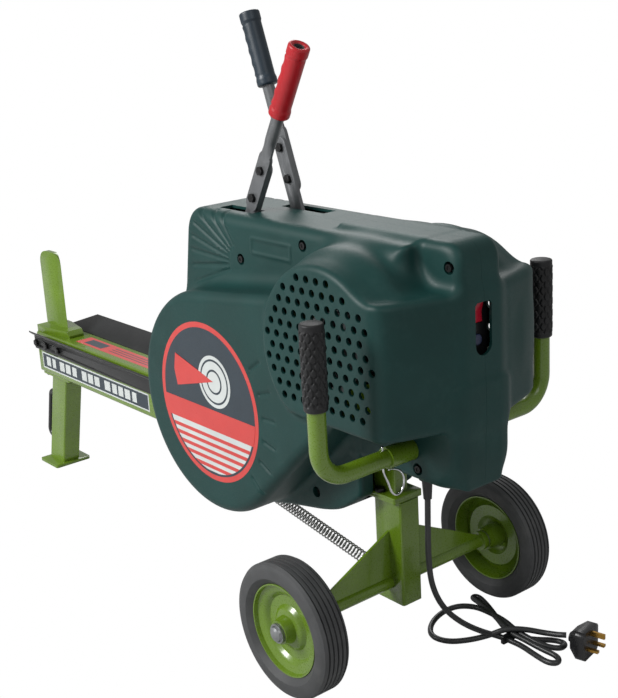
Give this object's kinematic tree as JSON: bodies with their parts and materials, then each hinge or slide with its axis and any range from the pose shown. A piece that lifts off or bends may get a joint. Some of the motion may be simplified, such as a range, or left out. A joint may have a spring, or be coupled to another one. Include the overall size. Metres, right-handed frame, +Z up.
{
  "type": "log splitter",
  "caption": "Electric flywheel log splitter on two wheels: a toothed ram in a moulded housing pushes logs along a beam onto a fixed wedge.",
  "frame": {"origin": "on the ground, under the middle of the machine without its mains cord", "axes": "+X forward along the beam to the wedge, +Y left, +Z up"},
  "size_m": [1.4274, 0.506, 0.9747],
  "materials": {
    "alloy": "die cast",
    "bare_steel": "satin zinc plate",
    "black_bolts": "black oxide",
    "black_plastic": "semi-gloss moulded",
    "black_rubber": "moulded ribbed grip",
    "black_steel": "satin powder coat",
    "blue_button": "gloss moulded",
    "blue_grip": "moulded finger grip",
    "brass": "bright",
    "cast_iron": "turned casting",
    "chrome_wire": "bright plated",
    "cord_pvc": "smooth PVC sheath",
    "green_frame": "gloss powder coat",
    "green_shell": "fine moulded texture",
    "red_grip": "moulded finger grip",
    "red_rocker": "gloss moulded",
    "rubber_tyre": "moulded solid rubber",
    "spring_steel": "drawn wire"
  },
  "bodies": {
    "frame": {"main_beam": "green_frame", "splitting_wedge": "green_frame", "front_leg": "green_frame", "carry_handle": "black_plastic", "log_wing_left": "black_steel", "log_wing_right": "black_steel", "rear_post": "green_frame", "rear_post_stub": "green_frame", "rear_axle": "green_frame", "frame_bolts": "black_bolts", "frame_plates": "green_frame", "shaft_bearings": "bare_steel", "motor_casing": "alloy", "drive_belt": "black_rubber", "return_spring": "spring_steel", "lever_pivots": "bare_steel", "handle_sleeve": "green_frame", "switch_block": "black_plastic", "housing_screws": "black_bolts", "housing_left": "green_shell", "housing_right": "green_shell", "axle_caps": "bare_steel", "cord_gland": "black_plastic", "power_cord": "cord_pvc", "cord_hank": "cord_pvc", "cord_tie": "black_plastic", "plug_body": "black_plastic", "plug_pins": "brass"},
    "wheel_left": {"wheel_tyre_left": "rubber_tyre", "wheel_rim_left": "green_frame", "wheel_bearing_left": "bare_steel"},
    "wheel_right": {"wheel_tyre_right": "rubber_tyre", "wheel_rim_right": "green_frame", "wheel_bearing_right": "bare_steel"},
    "drive_shaft": {"pinion_shaft": "bare_steel", "flywheel_left": "cast_iron", "flywheel_right": "cast_iron"},
    "rotor": {"motor_rotor": "bare_steel", "motor_fan": "black_plastic", "motor_pulley": "alloy"},
    "ram": {"rack": "bare_steel", "push_plate": "black_steel"},
    "roller_arm": {"roller_fork": "bare_steel"},
    "roller": {"pressure_roller": "bare_steel"},
    "engage_lever": {"engage_lever_arm": "bare_steel", "engage_lever_tube": "bare_steel", "engage_lever_bolts": "black_bolts", "engage_lever_grip": "red_grip"},
    "safety_lever": {"safety_lever_arm": "bare_steel", "safety_lever_tube": "bare_steel", "safety_lever_bolts": "black_bolts", "safety_lever_grip": "blue_grip"},
    "handle_left": {"handle_tube_left": "green_frame", "handle_grip_left": "black_rubber"},
    "handle_right": {"handle_tube_right": "green_frame", "handle_grip_right": "black_rubber"},
    "clip_left": {"spring_clip_left": "chrome_wire"},
    "clip_right": {"spring_clip_right": "chrome_wire"},
    "rocker": {"switch_rocker": "red_rocker"},
    "reset": {"reset_button": "blue_button"}
  },
  "joints": [
    {"name": "wheel_left_spin", "type": "hinge", "parent": "frame", "child": "wheel_left", "pos_m": [-0.4851, 0.217, 0.105], "axis": [0, 1, 0], "continuous": true},
    {"name": "wheel_right_spin", "type": "hinge", "parent": "frame", "child": "wheel_right", "pos_m": [-0.4851, -0.217, 0.105], "axis": [0, 1, 0], "continuous": true},
    {"name": "flywheel_spin", "type": "hinge", "parent": "frame", "child": "drive_shaft", "pos_m": [-0.1881, 0, 0.362], "axis": [0, 1, 0], "continuous": true},
    {"name": "motor_spin", "type": "hinge", "parent": "frame", "child": "rotor", "pos_m": [-0.5051, 0, 0.512], "axis": [0, 1, 0], "continuous": true},
    {"name": "ram_stroke", "type": "slide", "parent": "frame", "child": "ram", "axis": [1, 0, 0], "range_m": [0, 0.43], "deforming": ["return_spring"]},
    {"name": "roller_press", "type": "hinge", "parent": "frame", "child": "roller_arm", "pos_m": [-0.1471, 0, 0.452], "axis": [0, 1, 0], "range_deg": [-6, 0]},
    {"name": "roller_spin", "type": "hinge", "parent": "roller_arm", "child": "roller", "pos_m": [-0.2231, 0, 0.442], "axis": [0, 1, 0], "continuous": true},
    {"name": "engage_lever_swing", "type": "hinge", "parent": "frame", "child": "engage_lever", "pos_m": [-0.1661, 0.033, 0.6], "axis": [0, 1, 0], "range_deg": [0, 40]},
    {"name": "safety_lever_swing", "type": "hinge", "parent": "frame", "child": "safety_lever", "pos_m": [-0.2605, -0.033, 0.6134], "axis": [0, 1, 0], "range_deg": [-40, 0]},
    {"name": "handle_left_fold", "type": "hinge", "parent": "frame", "child": "handle_left", "pos_m": [-0.5821, 0.12, 0.366], "axis": [0, 1, 0], "range_deg": [-90, 0]},
    {"name": "handle_right_fold", "type": "hinge", "parent": "frame", "child": "handle_right", "pos_m": [-0.5821, -0.12, 0.366], "axis": [0, 1, 0], "range_deg": [-90, 0]},
    {"name": "clip_left_pull", "type": "slide", "parent": "handle_left", "child": "clip_left", "axis": [0, 0, -1], "range_m": [0, 0.05]},
    {"name": "clip_right_pull", "type": "slide", "parent": "handle_right", "child": "clip_right", "axis": [0, 0, -1], "range_m": [0, 0.05]},
    {"name": "switch_rock", "type": "hinge", "parent": "frame", "child": "rocker", "pos_m": [-0.6591, 0.0015, 0.571], "axis": [0, 1, 0], "range_deg": [0, 12]},
    {"name": "reset_press", "type": "slide", "parent": "frame", "child": "reset", "axis": [1, 0, 0], "range_m": [0, 0.0025], "stiffness_N_per_m": 400}
  ],
  "couplings": [
    {"joint": "motor_spin", "follows": "flywheel_spin", "ratio": 5.357},
    {"joint": "roller_press", "follows": "engage_lever_swing", "ratio": -0.15}
  ]
}
